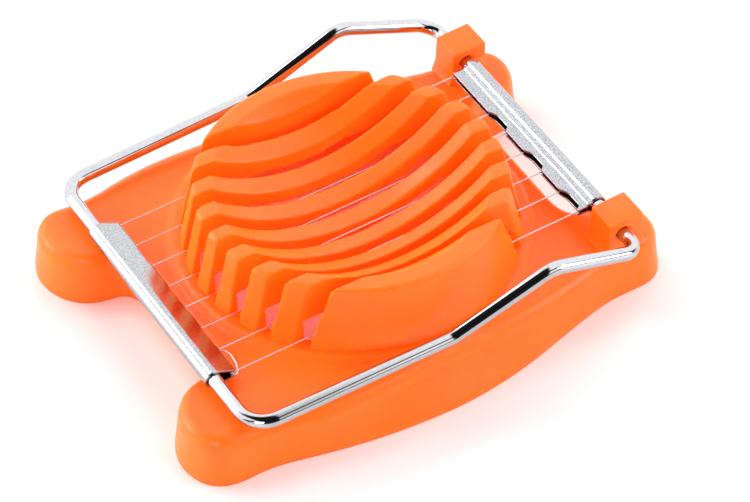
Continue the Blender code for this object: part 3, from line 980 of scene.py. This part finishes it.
# %% Floor
FLOOR_SIZE = 6.0
bpy.ops.object.select_all(action="DESELECT")
bpy.ops.mesh.primitive_plane_add(size=FLOOR_SIZE, location=(0.0, 0.0, 0.0))
floor = bpy.context.object
floor.name = "white_floor"
paper = bpy.data.materials.new("white_paper")
paper.use_nodes = True
sheen = paper.node_tree.nodes["Principled BSDF"].inputs
sheen["Base Color"].default_value = (0.93, 0.93, 0.94, 1.0)
sheen["Roughness"].default_value = 0.45
floor.data.materials.append(paper)
print("floor", FLOOR_SIZE, "m wide")

# %% [markdown]
# ## The room around it
#
# Polished metal shows nothing but its surroundings, so in an all-white room it
# turns white and loses its shape.  This room is white with a dark side, where
# the camera and the person behind it would stand, and with two narrow dark
# bands, like the gaps between panels.  They give the rod its dark streaks.
# Each is a ramp over how far a direction points along an axis of the world.
# The directions are fixed in the world, so nothing follows the camera.

# %% World: a white room with a dark side and two dark bands
world = bpy.data.worlds.new("white_room")
bpy.context.scene.world = world
world.use_nodes = True
nodes, links = world.node_tree.nodes, world.node_tree.links
where = nodes.new("ShaderNodeTexCoord")


def along(direction):
    """How far a view direction points along the given one, from -1 to 1."""
    dot = nodes.new("ShaderNodeVectorMath")
    dot.operation = "DOT_PRODUCT"
    dot.inputs[1].default_value = Vector(direction).normalized()
    links.new(where.outputs["Generated"], dot.inputs[0])
    return dot.outputs["Value"]


def shades(value, stops):
    """Grey levels at places along a value."""
    ramp = nodes.new("ShaderNodeValToRGB")
    row = ramp.color_ramp.elements
    while len(row) < len(stops):
        row.new(0.5)
    for element, (place, grey) in zip(row, stops):
        element.position = place
        element.color = (grey, grey, grey, 1.0)
    links.new(value, ramp.inputs["Fac"])
    return ramp.outputs["Color"]


def blend(kind, first, second):
    """Put two greys together: MULTIPLY darkens, LIGHTEN keeps the lighter."""
    node = nodes.new("ShaderNodeMix")
    node.data_type, node.blend_type = "RGBA", kind
    node.inputs["Factor"].default_value = 1.0
    links.new(first, node.inputs["A"])
    links.new(second, node.inputs["B"])
    return node.outputs["Result"]


def size_of(value):
    node = nodes.new("ShaderNodeMath")
    node.operation = "ABSOLUTE"
    links.new(value, node.inputs[0])
    return node.outputs[0]


# %% The dark side, the two bands, and the brightness
ROOM_BRIGHTNESS = 1.65
to_right = along((1.0, 0.0, 0.0))
to_left = along((-1.0, 0.0, 0.0))
to_back = along((0.0, 1.0, 0.0))
left_and_right = blend("LIGHTEN", shades(to_right, [(0.14, 0.012), (0.26, 1.0)]),
                       shades(to_left, [(0.55, 0.0), (0.70, 1.0)]))
dark_side = blend("LIGHTEN", left_and_right, shades(to_back, [(0.33, 0.0), (0.45, 1.0)]))
upper_band = shades(size_of(along((0.0, 0.764, 0.645))), [(0.10, 0.02), (0.16, 1.0)])
lower_band = shades(size_of(along((0.0, 0.13, 1.0))), [(0.06, 0.05), (0.13, 1.0)])
front_bands = blend("LIGHTEN", blend("MULTIPLY", upper_band, lower_band),
                    shades(to_back, [(0.0, 0.0), (0.1, 1.0)]))
background = nodes["Background"]
links.new(blend("MULTIPLY", dark_side, front_bands), background.inputs["Color"])
background.inputs["Strength"].default_value = ROOM_BRIGHTNESS
print(len(nodes), "nodes in the room, strength", ROOM_BRIGHTNESS)

# %% [markdown]
# ## Four softboxes
#
# Soft light from all round leaves only a faint shadow.  Two softboxes stand on
# the far left, one high and one low, and two stand on the near side, left and
# right.  Each is a square area light turned towards the middle of the object:
# the larger it is, the softer its shadow.

# %% Four area lights
TARGET = Vector((0.00119, -0.00679, 0.0103))


def soft_light(name, place, size, power):
    data = bpy.data.lights.new(name, "AREA")
    data.size, data.energy = size, power
    lamp = bpy.data.objects.new(name, data)
    bpy.context.scene.collection.objects.link(lamp)
    lamp.location = place
    lamp.rotation_euler = (TARGET - lamp.location).to_track_quat("-Z", "Y").to_euler()
    return lamp


soft_light("overhead_softbox", (-0.22, 0.51, 0.64), 0.20, 1.1)
soft_light("left_softbox", (-0.65, 0.50, 0.21), 0.40, 3.2)
soft_light("near_left_softbox", (-0.62, -0.58, 0.32), 0.35, 2.8)
soft_light("near_right_softbox", (0.70, -0.52, 0.34), 0.45, 3.6)
print("lights aim at", [round(v / MM, 1) for v in TARGET], "mm")

# %% [markdown]
# ## The camera
#
# A small object is best seen from some way off through a long lens, which keeps
# its far side nearly as large as its near side.  The camera looks down from
# the near left.  Standard view transform shows the colours as they are, so
# that a white room stays white.

# %% Camera
AZIMUTH, ELEVATION, DISTANCE = math.radians(-31.2), math.radians(45.33), 0.72222
back = Vector((math.sin(AZIMUTH) * math.cos(ELEVATION),
               -math.cos(AZIMUTH) * math.cos(ELEVATION), math.sin(ELEVATION)))
camera = bpy.data.objects.new("camera", bpy.data.cameras.new("camera"))
bpy.context.scene.collection.objects.link(camera)
camera.location = TARGET + back * DISTANCE
camera.rotation_euler = (-back).to_track_quat("-Z", "Y").to_euler()
camera.data.sensor_width = 36.0
camera.data.lens = 192.0
camera.data.clip_end = 20.0
bpy.context.scene.camera = camera
bpy.context.scene.view_settings.view_transform = "Standard"
print("camera", round(DISTANCE, 2), "m away, lens", camera.data.lens, "mm")
